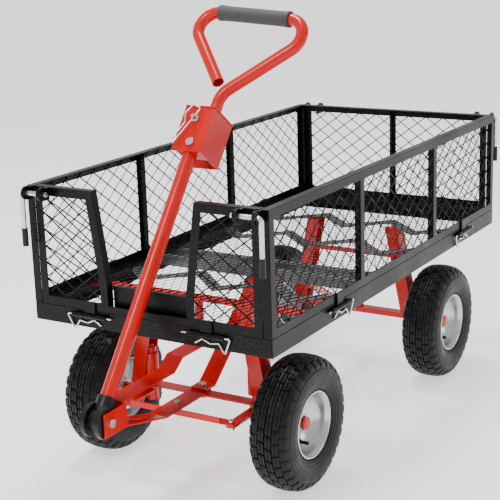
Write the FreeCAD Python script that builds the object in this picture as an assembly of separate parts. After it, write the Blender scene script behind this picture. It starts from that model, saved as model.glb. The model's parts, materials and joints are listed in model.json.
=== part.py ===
import FreeCAD, Part
import math
import os

# Garden pull cart, in millimetres.
# X is across the cart, +X on its own left; -Y is the front, where the handle is; Z is up from the ground.
V = FreeCAD.Vector

# ---- driving dimensions -------------------------------------------------------------------------
tray_width = 610.0
tray_length = 1240.0
tray_top = 411.0
rail_height = 40.0
rail_flange = 26.0
rail_sheet = 2.5
panel_height = 266.0
angle_leg = 20.0
angle_sheet = 2.5
side_bays = 3
mesh_sheet = 1.6
mesh_long_way = 52.0
mesh_short_way = 38.0
strand = 3.0
floor_long_way = 44.0
floor_short_way = 22.0
floor_sheet = 2.0
member_sheet = 3.0
member_width = 42.0
wave_reach = 46.0
wave_lines = [-300.0, 130.0, 350.0]
bar_lines = [-165.0, -100.0]
bar_width = 24.0

notch_half_top = 129.0
notch_half_bottom = 101.0
notch_rise = 62.0
strip_height = 16.0
sill_height = 56.0
sill_set_back = 18.0
sill_roll = 14.0

hinge_out = 6.0
hinge_drop = 11.0
knuckle_radius = 5.5
knuckle_length = 30.0
hinge_wire = 4.0
end_hinge_offset = 150.0
side_hinge_front = -328.0
side_hinge_rear = 394.0
hinge_pin_leg = 119.0

latch_rod = 10.5
latch_out = 22.0
latch_drop = 12.0
latch_eye_radius = 15.0
latch_eye_inner = 242.0
latch_eye_width = 8.0
latch_handle_reach = 118.0
latch_tip_length = 38.0

wheel_radius = 152.0
tyre_width = 100.0
rim_radius = 76.0
rim_width = 84.0
track_half = 248.5
front_axle_y = -421.0
rear_axle_y = 366.0
axle_rod = 19.0
hub_in = 32.0
hub_out = 14.0
hub_radius = 19.0
collar_radius = 15.0

kingpin_x = 141.0
kingpin_rod = 16.0
sleeve_radius = 17.0
sleeve_low = 198.0
sleeve_high = 254.0
sleeve_web = 8.0
beam_top = 179.0
beam_depth = 32.0
beam_sheet = 4.0
leg_width = 36.0
leg_depth = 42.0
leg_sheet = 3.0
front_leg_top_x = 128.0
front_leg_foot_x = 168.0
rear_leg_top_x = 118.0
rear_leg_foot_x = 166.0
rear_bar_height = 322.0
rear_beam_depth = 28.0
rear_beam_height = 14.0
steer_arm = 104.0
arm_bottom = 160.0
arm_sheet = 5.0
arm_half = 13.0
tie_bolt = 8.0
tie_sheet = 3.0

drawbar_plate_bottom = 184.0
drawbar_sheet = 4.0
drawbar_half = 24.0
drawbar_bend_y = -600.0
clevis_y = -801.0
clevis_z = 250.0
clevis_half = 30.0
clevis_back = 54.0
clevis_front = 21.0
clevis_half_height = 27.0
upper_arm_z = 274.0
upper_arm_half = 22.0
upper_arm_high_z = 298.0
joggle_front_y = -559.0
joggle_rear_y = -525.0
pivot_bolt = 12.0
window_half = 13.0
cheek_sheet = 4.0
clevis_bolt = 10.0
strap_half = 22.0
strap_sheet = 5.0

tow_lean = 37.5
tow_radius = 16.0
tow_wall = 2.0
tube_start = 26.0
socket_radius = 36.0
socket_half = 24.0
disc_sheet = 12.0
core_radius = 24.0
box_start = 606.0
box_length = 108.0
box_width = 75.0
box_depth = 86.0
box_front = 20.0
box_sheet = 3.0
loop_radius = 14.0
loop_wall = 2.0
loop_offset = -30.5
loop_line = [(5, 718), (5, 774.8), (227.7, 963.2), (-162.4, 993.3), (-12, 804)]
loop_bends = [45.0, 44.0, 41.0]
grip_radius = 18.5
stem_x = 5.0
stem_half = 14.0
stem_sheet = 8.0
pivot_x = 5.0
loop_pivot_t = 628.0
loop_bolt = 10.0
pin_x = 0.0
hitch_pin_t = 684.0
hitch_bolt = 10.0
clip_wire = 3.4
clip_line = [(-32, 618), (10, 706), (-12, 714), (-25, 692), (-18, 670), (-38, 626)]

# From the tray's middle, where the shapes are drawn, to the middle of the whole length with the drawbar.
origin_shift = 90.0

# clearances that belong to fits
slide_gap = 0.3
turn_gap = 0.1
body_gap = 0.4
notch_gap = 0.8

half_width = tray_width / 2
half_length = tray_length / 2
tray_bottom = tray_top - rail_height
panel_bottom = tray_top + body_gap
panel_top = panel_bottom + panel_height
hinge_z = tray_top - hinge_drop
end_panel_half = half_width - angle_leg - 1.0
latch_z = panel_top - latch_drop

# ---- helpers ------------------------------------------------------------------------------------
os.makedirs("parts", exist_ok=True)


def save(node, shapes):
    """Writes one node, moved so that the origin is below the middle of the whole cart."""
    shape = Part.makeCompound(shapes if isinstance(shapes, list) else [shapes])
    shape.translate(V(0, origin_shift, 0))
    shape.exportStep("parts/" + node + ".step")


def block(x0, x1, y0, y1, z0, z1):
    return Part.makeBox(x1 - x0, y1 - y0, z1 - z0, V(x0, y0, z0))


def rod(start, end, radius):
    run = end - start
    return Part.makeCylinder(radius, run.Length, start, run)


def pipe(start, end, outer, inner):
    run = end - start
    over = V(run).normalize()
    return rod(start, end, outer).cut(rod(start - over, end + over, inner))


def fuse(shapes):
    return shapes[0].multiFuse(shapes[1:]).removeSplitter() if len(shapes) > 1 else shapes[0]


def upright_hole(x, y, radius):
    """A cutting rod longer than the cart is high."""
    return rod(V(x, y, 0), V(x, y, tray_top), radius)


def plate(points, direction):
    return Part.Face(Part.makePolygon(points + [points[0]])).extrude(direction)


def route(points, bends):
    """A path of straight runs joined by tangent arcs, one bend radius for each corner."""
    edges = []
    start = points[0]
    for before, corner, after, radius in zip(points, points[1:], points[2:], bends):
        a = (before - corner).normalize()
        b = (after - corner).normalize()
        half = a.getAngle(b) / 2
        back = radius / math.tan(half)
        middle = corner + (a + b).normalize() * (radius / math.sin(half) - radius)
        edges.append(Part.LineSegment(start, corner + a * back).toShape())
        edges.append(Part.Arc(corner + a * back, middle, corner + b * back).toShape())
        start = corner + b * back
    edges.append(Part.LineSegment(start, points[-1]).toShape())
    return Part.Wire(edges)


def bent_rod(points, radius, bend):
    path = route(points, [bend] * (len(points) - 2))
    ring = Part.Wire(Part.makeCircle(radius, points[0], points[1] - points[0]))
    return path.makePipeShell([ring], True, False)


def pipe_along(path, points, outer, inner):
    """A bent tube along a path that starts at the first point."""
    rings = [Part.Wire(Part.makeCircle(r, points[0], points[1] - points[0])) for r in (outer, inner)]
    return path.makePipeShell([rings[0]], True, False).cut(path.makePipeShell([rings[1]], True, False))


def turned(profile, centre, axis):
    """Turns a closed profile of (distance along the axis, radius) points about the X direction."""
    points = [V(u, 0, r) for u, r in profile]
    solid = Part.Face(Part.makePolygon(points + [points[0]])).revolve(V(0, 0, 0), V(1, 0, 0), 360)
    solid = solid.mirror(V(0, 0, 0), V(1, 0, 0)) if axis < 0 else solid
    solid.translate(centre)
    return solid


SIDES = {
    "front": (0, V(0, -half_length, 0)),
    "left": (90, V(half_width, 0, 0)),
    "rear": (180, V(0, half_length, 0)),
    "right": (270, V(-half_width, 0, 0)),
}


def stand(shape, side):
    """Moves a shape drawn against the front face to the named face of the tray."""
    angle, place = SIDES[side]
    out = shape.copy()
    out.rotate(V(0, 0, 0), V(0, 0, 1), angle)
    out.translate(place)
    return out


def diamond_sheet(outline, depth, thickness, long_way, short_way, wire, margin, flat=False):
    """A sheet with diamond openings that stay a margin inside its outline.

    The outline runs across and up for an upright sheet, and along the cart and across for a flat one.
    """
    def at(u, w):
        return V(w, u, depth) if flat else V(u, depth, w)
    low_u = min(u for u, w in outline)
    high_u = max(u for u, w in outline)
    low_w = min(w for u, w in outline)
    high_w = max(w for u, w in outline)
    slant = math.hypot(long_way, short_way)
    half_u = long_way / 2 - wire / 2 * slant / short_way
    half_w = short_way / 2 - wire / 2 * slant / long_way
    rows = int((high_w - low_w) / short_way * 2) + 2
    columns = int((high_u - low_u) / long_way) + 2
    middle_u = (low_u + high_u) / 2
    holes = []
    for row in range(rows):
        for column in range(-columns, columns + 1):
            u = middle_u + (column + 0.5 * (row % 2)) * long_way
            w = low_w + row * short_way / 2
            corners = [(u - half_u, w), (u, w - half_w), (u + half_u, w), (u, w + half_w)]
            if all(clear_of_edges(c, outline, margin) for c in corners):
                holes.append(Part.makePolygon([at(*c) for c in corners + corners[:1]]))
    border = Part.makePolygon([at(u, w) for u, w in outline + [outline[0]]])
    return Part.Face([border] + holes).extrude(V(0, 0, thickness) if flat else V(0, thickness, 0))


def clear_of_edges(point, outline, margin):
    """True where a point is inside a convex outline and at least the margin from every edge."""
    u, w = point
    signs = []
    for (u0, w0), (u1, w1) in zip(outline, outline[1:] + outline[:1]):
        length = math.hypot(u1 - u0, w1 - w0)
        signs.append(((u1 - u0) * (w - w0) - (w1 - w0) * (u - u0)) / length)
    return min(signs) >= margin or max(signs) <= -margin


# ---- tray ---------------------------------------------------------------------------------------
def rail(length, mitre):
    """A channel rail against the front face, open inwards."""
    half = length / 2
    web = block(-half, half, 0, rail_sheet, tray_bottom, tray_top)
    top = block(-half + mitre, half - mitre, 0, rail_flange, tray_top - rail_sheet, tray_top)
    foot = block(-half + mitre, half - mitre, 0, rail_flange, tray_bottom, tray_bottom + rail_sheet)
    return fuse([web, top, foot])


inner_half = half_width - rail_sheet
end_mitre = rail_flange - rail_sheet
save("tray_rail_front", stand(rail(2 * inner_half, end_mitre), "front"))
save("tray_rail_rear", stand(rail(2 * inner_half, end_mitre), "rear"))
save("tray_rail_left", stand(rail(tray_length, rail_sheet), "left"))
save("tray_rail_right", stand(rail(tray_length, rail_sheet), "right"))

floor_z = tray_top - rail_sheet - floor_sheet
floor_half_x = half_width - rail_sheet
floor_half_y = half_length - rail_sheet
floor_outline = [(-floor_half_y, -floor_half_x), (floor_half_y, -floor_half_x),
                 (floor_half_y, floor_half_x), (-floor_half_y, floor_half_x)]
save("floor_mesh", diamond_sheet(floor_outline, floor_z, floor_sheet, floor_long_way,
                                 floor_short_way, strand, rail_flange, flat=True))

# Stamped cross members: wavy ribbons and straight bars below the floor mesh.
member_top = floor_z
leg_top = member_top - member_sheet


def wave(line_y):
    """A ribbon that swings from front to back four times across the tray."""
    steps = 6
    pitch = 2 * inner_half / steps
    points = [V(-inner_half + pitch * n, line_y + wave_reach * (-1) ** n, 0) for n in range(steps + 1)]
    upper = [p + V(0, member_width / 2, 0) for p in points]
    lower = [p - V(0, member_width / 2, 0) for p in reversed(points)]
    ribbon = plate(upper + lower, V(0, 0, -member_sheet))
    ribbon.translate(V(0, 0, member_top))
    return ribbon


waves = [wave(line_y) for line_y in wave_lines]
bars = []
for line_y in bar_lines:
    bars.append(fuse([
        block(-inner_half, inner_half, line_y, line_y + bar_width, member_top - member_sheet, member_top),
        block(-inner_half, inner_half, line_y, line_y + member_sheet, member_top - bar_width, member_top),
    ]))
save("floor_cross_members", waves + bars)

# The sheet sill below the notch of the front panel; the handle leans on its rolled top edge.
sill_half = notch_half_bottom - 2.0
sill_y = -half_length + sill_set_back
sill_top = panel_bottom + sill_height
save("front_sill", fuse([
    block(-sill_half, sill_half, sill_y, sill_y + rail_sheet, tray_top, sill_top),
    block(-sill_half, sill_half, sill_y, sill_y + sill_roll, sill_top - rail_sheet, sill_top),
    block(-sill_half, sill_half, sill_y, -half_length + rail_flange, tray_top, tray_top + rail_sheet),
]))

# ---- folding panels -----------------------------------------------------------------------------
def upright_angle(u0, u1, inward_at):
    """A post: its wide leg in the panel's face and one leg turned inwards."""
    leg = block(inward_at, inward_at + angle_sheet, 0, angle_leg, panel_bottom, panel_top)
    return [block(u0, u1, 0, angle_sheet, panel_bottom, panel_top), leg]


def level_angle(u0, u1, bottom):
    """A level rail of the panel: wide leg in the face, the other leg inwards at its outer edge."""
    lip = bottom if bottom == panel_bottom else bottom + angle_leg - angle_sheet
    return [block(u0, u1, 0, angle_sheet, bottom, bottom + angle_leg),
            block(u0, u1, 0, angle_leg, lip, lip + angle_sheet)]


def plain_panel(half, posts):
    top = panel_top - angle_leg
    pieces = level_angle(-half, half, panel_bottom) + level_angle(-half, half, top)
    pieces += upright_angle(-half, -half + angle_leg, -half)
    pieces += upright_angle(half - angle_leg, half, half - angle_sheet)
    for u in posts:
        pieces += upright_angle(u - angle_leg / 2, u + angle_leg / 2, u - angle_sheet / 2)
    return fuse(pieces)


def notch_half(z):
    """Half width of the front notch at a height."""
    low = panel_bottom + notch_rise
    share = max(0.0, (z - low) / (panel_top - low))
    return notch_half_bottom + (notch_half_top - notch_half_bottom) * share


def notched_panel(half):
    top = panel_top - angle_leg
    pieces = []
    for side in (-1, 1):
        ends = sorted([side * notch_half(panel_top), side * half])
        low_ends = sorted([side * notch_half_bottom, side * half])
        pieces += level_angle(ends[0], ends[1], top)
        pieces += level_angle(low_ends[0], low_ends[1], panel_bottom)
        outer = upright_angle(-half, -half + angle_leg, -half)
        if side > 0:
            outer = upright_angle(half - angle_leg, half, half - angle_sheet)
        pieces += outer
        path = [(notch_half_bottom, panel_bottom), (notch_half_bottom, panel_bottom + notch_rise),
                (notch_half_top, panel_top)]
        for width, depth in ((angle_leg, angle_sheet), (angle_sheet, angle_leg)):
            inner = [V(side * u, 0, z) for u, z in path]
            outer_edge = [V(side * (u + width), 0, z) for u, z in reversed(path)]
            pieces.append(plate(inner + outer_edge, V(0, depth, 0)))
    strip = block(-notch_half_bottom, notch_half_bottom, 0, angle_sheet, panel_bottom,
                  panel_bottom + strip_height)
    return fuse(pieces + [strip])


def panel_mesh(low_u, high_u, notch_side=0):
    low = panel_bottom + angle_sheet
    high = panel_top - angle_sheet
    outline = [(low_u, low), (high_u, low), (high_u, high), (low_u, high)]
    if notch_side:
        slope = notch_half(high) - notch_half_bottom
        knee = (notch_side * (notch_half_bottom + angle_sheet), panel_bottom + notch_rise)
        far = notch_side * (notch_half_bottom + slope + angle_sheet)
        if notch_side > 0:
            outline = [(low_u, low), (high_u, low), (high_u, high), (far, high), knee]
        else:
            outline = [(low_u, low), (high_u, low), knee, (far, high), (low_u, high)]
    return diamond_sheet(outline, angle_sheet, mesh_sheet, mesh_long_way, mesh_short_way, strand,
                         angle_leg - angle_sheet)


def mesh_bays(half, posts):
    """The mesh of a plain panel: one sheet in each bay between its posts."""
    lows = [-half + angle_sheet] + [post + angle_sheet / 2 for post in posts]
    highs = [post - angle_sheet / 2 for post in posts] + [half - angle_sheet]
    return [panel_mesh(low, high) for low, high in zip(lows, highs)]


def fixed_knuckles(u):
    """The two outer knuckles of a hinge, on the tray rail."""
    pieces = []
    for low in (u - 1.5 * knuckle_length, u + 0.5 * knuckle_length + body_gap):
        high = low + knuckle_length - body_gap
        tube = rod(V(low, -hinge_out, hinge_z), V(high, -hinge_out, hinge_z), knuckle_radius)
        foot = block(low, high, -hinge_out, 0, hinge_z - knuckle_radius, hinge_z)
        bore = rod(V(low - 1, -hinge_out, hinge_z), V(high + 1, -hinge_out, hinge_z), hinge_wire / 2)
        pieces.append(tube.fuse(foot).cut(bore).removeSplitter())
    return pieces


def panel_knuckle(u):
    """The middle knuckle, on a strap that is welded to the panel's bottom rail."""
    low = u - 0.5 * knuckle_length + body_gap
    high = u + 0.5 * knuckle_length - body_gap
    tube = rod(V(low, -hinge_out, hinge_z), V(high, -hinge_out, hinge_z), knuckle_radius)
    neck = block(low, high, -hinge_out + 1.5, -body_gap, hinge_z, panel_bottom)
    strap = block(low, high, -hinge_out + 1.5, 0, panel_bottom, panel_bottom + angle_leg)
    bore = rod(V(low - 1, -hinge_out, hinge_z), V(high + 1, -hinge_out, hinge_z),
               hinge_wire / 2 + turn_gap)
    return fuse([tube, neck, strap]).cut(bore)


def hinge_pin(u, out):
    """A bent wire pin: straight leg in the knuckles, sprung leg against the rail below them.

    The closed end is on the side that out gives.
    """
    start = V(u - out * hinge_pin_leg / 2, -hinge_out, hinge_z)
    end = V(u + out * hinge_pin_leg / 2, -hinge_out, hinge_z)
    beside_rail = -hinge_wire / 2 - body_gap
    wire = [start, end]
    below = [(-16, -36), (-30, -14), (-52, -17), (-70, -9), (-88, -20)]
    wire += [V(end.x + out * du, beside_rail, hinge_z + dz) for du, dz in below]
    return bent_rod(wire, hinge_wire / 2, 3.0)


def latch_eye(side):
    """The eye on an end panel's top corner that takes the tip of the latch rod."""
    low = latch_eye_inner
    high = low + latch_eye_width
    ring = rod(V(low, -latch_out, latch_z), V(high, -latch_out, latch_z), latch_eye_radius)
    root = block(low, high, -latch_out, 0, latch_z - latch_eye_radius, latch_z + latch_drop)
    bore = rod(V(low - 1, -latch_out, latch_z), V(high + 1, -latch_out, latch_z),
               latch_rod / 2 + slide_gap)
    eye = ring.fuse(root).cut(bore).removeSplitter()
    return eye if side > 0 else eye.mirror(V(0, 0, 0), V(1, 0, 0))


guide_x = end_panel_half + 2.5
guide_width = 5.0


def latch_guide(side_x, side_y):
    """The guide on a side panel's corner post, in tray coordinates, for one corner of the cart."""
    y = -half_length - latch_out
    ring = rod(V(guide_x, y, latch_z), V(guide_x + guide_width, y, latch_z), latch_eye_radius)
    root = block(guide_x, guide_x + guide_width, y, -half_length, latch_z - latch_eye_radius,
                 latch_z + latch_drop)
    bore = rod(V(guide_x - 1, y, latch_z), V(guide_x + guide_width + 1, y, latch_z),
               latch_rod / 2 + turn_gap)
    return to_corner(ring.fuse(root).cut(bore).removeSplitter(), side_x, side_y)


def to_corner(shape, side_x, side_y):
    """Mirrors a shape of the front left corner to another corner."""
    shape = shape.mirror(V(0, 0, 0), V(1, 0, 0)) if side_x < 0 else shape
    return shape.mirror(V(0, 0, 0), V(0, 1, 0)) if side_y > 0 else shape


def latch_pin(side_x, side_y):
    """A bent rod with a rubber tip on its handle."""
    y = -half_length - latch_out
    elbow_x = guide_x + guide_width + 9.0
    foot_z = latch_z - latch_handle_reach
    bar = bent_rod([V(latch_eye_inner - 10, y, latch_z), V(elbow_x, y, latch_z),
                    V(elbow_x, y, foot_z + 2)], latch_rod / 2, 8.0)
    tip = pipe(V(elbow_x, y, foot_z), V(elbow_x, y, foot_z + latch_tip_length), latch_rod / 2 + 1.5,
               latch_rod / 2)
    cap = rod(V(elbow_x, y, foot_z - 2), V(elbow_x, y, foot_z), latch_rod / 2 + 1.5)
    return [to_corner(bar, side_x, side_y), to_corner(tip.fuse(cap).removeSplitter(), side_x, side_y)]


side_hinges = {"left": (side_hinge_front, side_hinge_rear), "right": (-side_hinge_front, -side_hinge_rear)}
end_hinges = (-end_hinge_offset, end_hinge_offset)
side_posts = [(-0.5 + (n + 1) / side_bays) * tray_length for n in range(side_bays - 1)]

knuckles = []
pins = []
for side in SIDES:
    for u in side_hinges.get(side, end_hinges):
        knuckles += [stand(piece, side) for piece in fixed_knuckles(u)]
        toward = 1 if u > 0 else -1
        if side in side_hinges:
            toward = -toward
        pins.append(stand(hinge_pin(u, toward), side))
save("hinge_knuckles", knuckles)
save("hinge_pins", pins)

for side in ("left", "right"):
    sign = 1 if side == "left" else -1
    save("side_panel_frame_" + side, stand(plain_panel(half_length, side_posts), side))
    save("side_panel_mesh_" + side,
         [stand(sheet, side) for sheet in mesh_bays(half_length, side_posts)])
    save("side_panel_hinges_" + side, [stand(panel_knuckle(u), side) for u in side_hinges[side]])
    save("latch_guides_" + side, [latch_guide(sign, -1), latch_guide(sign, 1)])

save("front_panel_frame", stand(notched_panel(end_panel_half), "front"))
save("front_panel_mesh", [
    stand(panel_mesh(notch_half_bottom + angle_sheet, end_panel_half - angle_sheet, 1), "front"),
    stand(panel_mesh(-end_panel_half + angle_sheet, -notch_half_bottom - angle_sheet, -1), "front")])
save("rear_panel_frame", stand(plain_panel(end_panel_half, [0.0]), "rear"))
save("rear_panel_mesh", [stand(sheet, "rear") for sheet in mesh_bays(end_panel_half, [0.0])])
for side in ("front", "rear"):
    save(side + "_panel_hinges", [stand(panel_knuckle(u), side) for u in end_hinges])
    save(side + "_latch_eyes", [stand(latch_eye(-1), side), stand(latch_eye(1), side)])

for end, side_y in (("front", -1), ("rear", 1)):
    for side, side_x in (("left", 1), ("right", -1)):
        save("latch_pin_" + end + "_" + side, latch_pin(side_x, side_y))

# ---- wheels -------------------------------------------------------------------------------------
seat_radius = rim_radius - 7.0
bead_out = rim_width / 2 - 5.5


def tyre():
    half = tyre_width / 2
    crown = wheel_radius
    outer = [(bead_out, seat_radius), (bead_out, rim_radius + 1), (half - 4, rim_radius + 10),
             (half, crown - 38), (half - 3, crown - 18), (half - 13, crown - 6), (half - 30, crown - 1)]
    inner = [(half - 33, crown - 11), (half - 18, crown - 18), (half - 10, crown - 38),
             (half - 13, rim_radius + 12), (bead_out - 9, rim_radius + 2), (bead_out - 9, seat_radius)]
    left_outer = [(-u, r) for u, r in reversed(outer)]
    left_inner = [(-u, r) for u, r in reversed(inner)]
    return outer + [(0, crown)] + left_outer + left_inner + [(0, crown - 10)] + inner


def rim():
    half = rim_width / 2
    wall = 2.5
    drop = seat_radius - 9.0
    edge = [(bead_out, seat_radius), (half - 4, rim_radius), (half, rim_radius), (half, rim_radius - 5),
            (half - 6, seat_radius - wall)]
    left_edge = [(-u, r) for u, r in reversed(edge)]
    face = [(24, seat_radius - wall), (18, drop - wall), (7, drop - 8), (-5, 36), (0, 24),
            (hub_out, hub_radius), (hub_out, axle_rod / 2 + turn_gap),
            (-hub_in, axle_rod / 2 + turn_gap), (-hub_in, hub_radius), (-20, 24), (-9, 36),
            (2, drop - 8), (6, drop - wall), (-18, drop - wall), (-24, seat_radius - wall)]
    return edge + face + left_edge + [(-22, seat_radius), (-16, drop), (16, drop), (22, seat_radius)]


wheel_places = {
    "front_left": V(track_half, front_axle_y, wheel_radius),
    "front_right": V(-track_half, front_axle_y, wheel_radius),
    "rear_left": V(track_half, rear_axle_y, wheel_radius),
    "rear_right": V(-track_half, rear_axle_y, wheel_radius),
}
for name, centre in wheel_places.items():
    save("tyre_" + name, turned(tyre(), centre, centre.x))
    save("rim_" + name, turned(rim(), centre, centre.x))

# ---- fixed undercarriage ------------------------------------------------------------------------
def leg(top_x, foot_x, axle_y, foot_z, side, top_z):
    """A channel leg that leans outwards from the tray to the axle beam; its open side faces in."""
    def at(x, z):
        return V(side * x, axle_y - leg_depth / 2, z)
    inner = [at(top_x - leg_width / 2, top_z), at(foot_x - leg_width / 2, foot_z)]
    outer = [at(foot_x + leg_width / 2, foot_z), at(top_x + leg_width / 2, top_z)]
    solid = plate(inner + outer, V(0, leg_depth, 0))
    shift = V(-side * leg_sheet, leg_sheet, 0)
    hollow = plate([p + shift for p in inner + outer], V(0, leg_depth - 2 * leg_sheet, 0))
    reach = V(-side * leg_width, leg_sheet, 0)
    opening = plate([p + reach for p in inner + outer], V(0, leg_depth - 2 * leg_sheet, 0))
    return solid.cut(hollow.fuse(opening)).removeSplitter()


beam_ends = front_leg_foot_x + leg_width / 2
front_beam = block(-beam_ends, beam_ends, front_axle_y - beam_depth / 2,
                   front_axle_y + beam_depth / 2, beam_top - beam_sheet, beam_top)
for x in (-kingpin_x, kingpin_x):
    front_beam = front_beam.cut(upright_hole(x, front_axle_y, kingpin_rod / 2 + turn_gap))
front_beam = front_beam.cut(upright_hole(0, front_axle_y, pivot_bolt / 2))
save("front_axle_beam", front_beam.removeSplitter())

hanger_y0 = front_axle_y - leg_depth / 2
front_hanger = block(-inner_half, inner_half, hanger_y0, hanger_y0 + leg_depth, leg_top, member_top)
front_legs = {side: leg(front_leg_top_x, front_leg_foot_x, front_axle_y, beam_top, side, leg_top)
              for side in (-1, 1)}
post_hole = upright_hole(0, front_axle_y, pivot_bolt / 2)
save("front_axle_frame", fuse([front_hanger] + list(front_legs.values())).cut(post_hole))

sleeves = []
for side in (-1, 1):
    x = side * kingpin_x
    tube = rod(V(x, front_axle_y, sleeve_low), V(x, front_axle_y, sleeve_high), sleeve_radius)
    web_x = sorted([x, side * (front_leg_foot_x + leg_width / 2)])
    web = block(web_x[0], web_x[1], front_axle_y - sleeve_web / 2, front_axle_y + sleeve_web / 2,
                sleeve_low + sleeve_web, sleeve_high - sleeve_web)
    bore = upright_hole(x, front_axle_y, kingpin_rod / 2 + turn_gap)
    welded = tube.fuse(web).cut(bore).removeSplitter().cut(front_legs[side])
    sleeves.append(max(welded.Solids, key=lambda piece: piece.Volume))
save("kingpin_sleeves", sleeves)


def axle_collars(side, axle_y):
    """The collar behind a wheel's hub and the nut in front of it."""
    collars = []
    for start, length in ((track_half - hub_in - 4.0, 3.0), (track_half + hub_out + 1.0, 7.0)):
        low = V(min(side * start, side * (start + length)), axle_y, wheel_radius)
        collars.append(rod(low, low + V(length, 0, 0), collar_radius))
    return collars


# A flat strap from the steering pivot back up to the bars, and one from the bars down to the rear beam.
strap_foot_z = drawbar_plate_bottom + drawbar_sheet + 1.0
strap_foot_y = front_axle_y - 18.0
strap_head_z = member_top - bar_width - strap_sheet


def strap(points):
    """A bent flat strap, drawn as its lower line in the centre plane."""
    lower = [V(-strap_half, y, z) for y, z in points]
    upper = [V(-strap_half, y, z + strap_sheet) for y, z in reversed(points)]
    return plate(lower + upper, V(2 * strap_half, 0, 0))


front_strap = strap([(strap_foot_y, strap_foot_z), (front_axle_y + 20, strap_foot_z),
                     (bar_lines[0], strap_head_z), (bar_lines[1] + bar_width, strap_head_z)])
front_strap = front_strap.cut(upright_hole(0, front_axle_y, pivot_bolt / 2))
rear_beam_top = wheel_radius + axle_rod / 2 + 0.5
strap_joint_y = bar_lines[1] + bar_width
rear_strap = strap([(strap_joint_y + 1, strap_head_z), (strap_joint_y + 30, strap_head_z),
                    (rear_axle_y - 36, rear_beam_top), (rear_axle_y + 10, rear_beam_top)])
save("brace_straps", [front_strap, rear_strap])

rear_legs = [leg(rear_leg_top_x, rear_leg_foot_x, rear_axle_y, rear_beam_top, side, leg_top)
             for side in (-1, 1)]
rear_share = (rear_bar_height - rear_beam_top) / (leg_top - rear_beam_top)
rear_bar_half = rear_leg_foot_x + (rear_leg_top_x - rear_leg_foot_x) * rear_share
rear_bar_half += leg_width / 2 - leg_sheet
rear_bar = block(-rear_bar_half, rear_bar_half, rear_axle_y - rear_beam_depth / 2,
                 rear_axle_y + rear_beam_depth / 2, rear_bar_height - 6, rear_bar_height)
save("rear_axle_frame", fuse(rear_legs + [rear_bar]))
rear_beam_half = rear_leg_foot_x + leg_width / 2
rear_beam = block(-rear_beam_half, rear_beam_half, rear_axle_y - rear_beam_depth / 2,
                  rear_axle_y + rear_beam_depth / 2, rear_beam_top - rear_beam_height, rear_beam_top)
axle_end = track_half + hub_out + 9.0
rear_rod = rod(V(-axle_end, rear_axle_y, wheel_radius), V(axle_end, rear_axle_y, wheel_radius),
               axle_rod / 2)
save("rear_axle", fuse([rear_beam, rear_rod] + axle_collars(-1, rear_axle_y) + axle_collars(1, rear_axle_y)))

# ---- steering -----------------------------------------------------------------------------------
tie_y = front_axle_y - steer_arm
arm_top = arm_bottom + arm_sheet
tie_bottom = arm_top + body_gap
tie_top = tie_bottom + tie_sheet


def knuckle_set(side):
    """Kingpin, stub axle and steering arm of one front wheel."""
    x = side * kingpin_x
    tip = side * axle_end
    pin = rod(V(x, front_axle_y, wheel_radius), V(x, front_axle_y, sleeve_high + 20), kingpin_rod / 2)
    head = rod(V(x, front_axle_y, sleeve_high + body_gap), V(x, front_axle_y, sleeve_high + 14), 13.0)
    body = rod(V(x, front_axle_y, wheel_radius - 13),
               V(x, front_axle_y, beam_top - beam_sheet - body_gap), 14.0)
    stub = rod(V(min(x, tip), front_axle_y, wheel_radius), V(max(x, tip), front_axle_y, wheel_radius),
               axle_rod / 2)
    arm = block(x - arm_half, x + arm_half, tie_y, front_axle_y, arm_bottom, arm_top)
    nose = rod(V(x, tie_y, arm_bottom), V(x, tie_y, arm_top), arm_half)
    hole = upright_hole(x, tie_y, tie_bolt / 2 + turn_gap)
    return fuse([pin, head, body, stub, arm, nose] + axle_collars(side, front_axle_y)).cut(hole)


save("steering_knuckle_left", knuckle_set(1))
save("steering_knuckle_right", knuckle_set(-1))

tie_end = kingpin_x + arm_half + 1.0
tie_plate = block(-tie_end, tie_end, tie_y - arm_half, tie_y + arm_half, tie_bottom, tie_top)
tie_lip = block(-kingpin_x + 22, kingpin_x - 22, tie_y - arm_half, tie_y - arm_half + tie_sheet,
                tie_bottom, tie_bottom + 14)
tie_rod = tie_plate.fuse(tie_lip).cut(upright_hole(0, tie_y, tie_bolt / 2 + turn_gap))
tie_bolts = []
for x in (-kingpin_x, kingpin_x):
    shank = rod(V(x, tie_y, arm_bottom - 8), V(x, tie_y, tie_top + 6), tie_bolt / 2)
    nut = rod(V(x, tie_y, arm_bottom - 8), V(x, tie_y, arm_bottom - body_gap), 7.0)
    head = rod(V(x, tie_y, tie_top), V(x, tie_y, tie_top + 6), 7.0)
    tie_bolts.append(fuse([shank, nut, head]))
    tie_rod = tie_rod.cut(upright_hole(x, tie_y, tie_bolt / 2))
save("tie_rod", tie_rod.removeSplitter())
save("tie_rod_bolts", tie_bolts)

# ---- drawbar ------------------------------------------------------------------------------------
def flat_strip(points, half, sheet):
    """A bent flat bar: its lower line in the centre plane, given a thickness upwards."""
    lower = [V(-half, y, z) for y, z in points]
    upper = [V(-half, y, z + sheet) for y, z in reversed(points)]
    return plate(lower + upper, V(2 * half, 0, 0))


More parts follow.
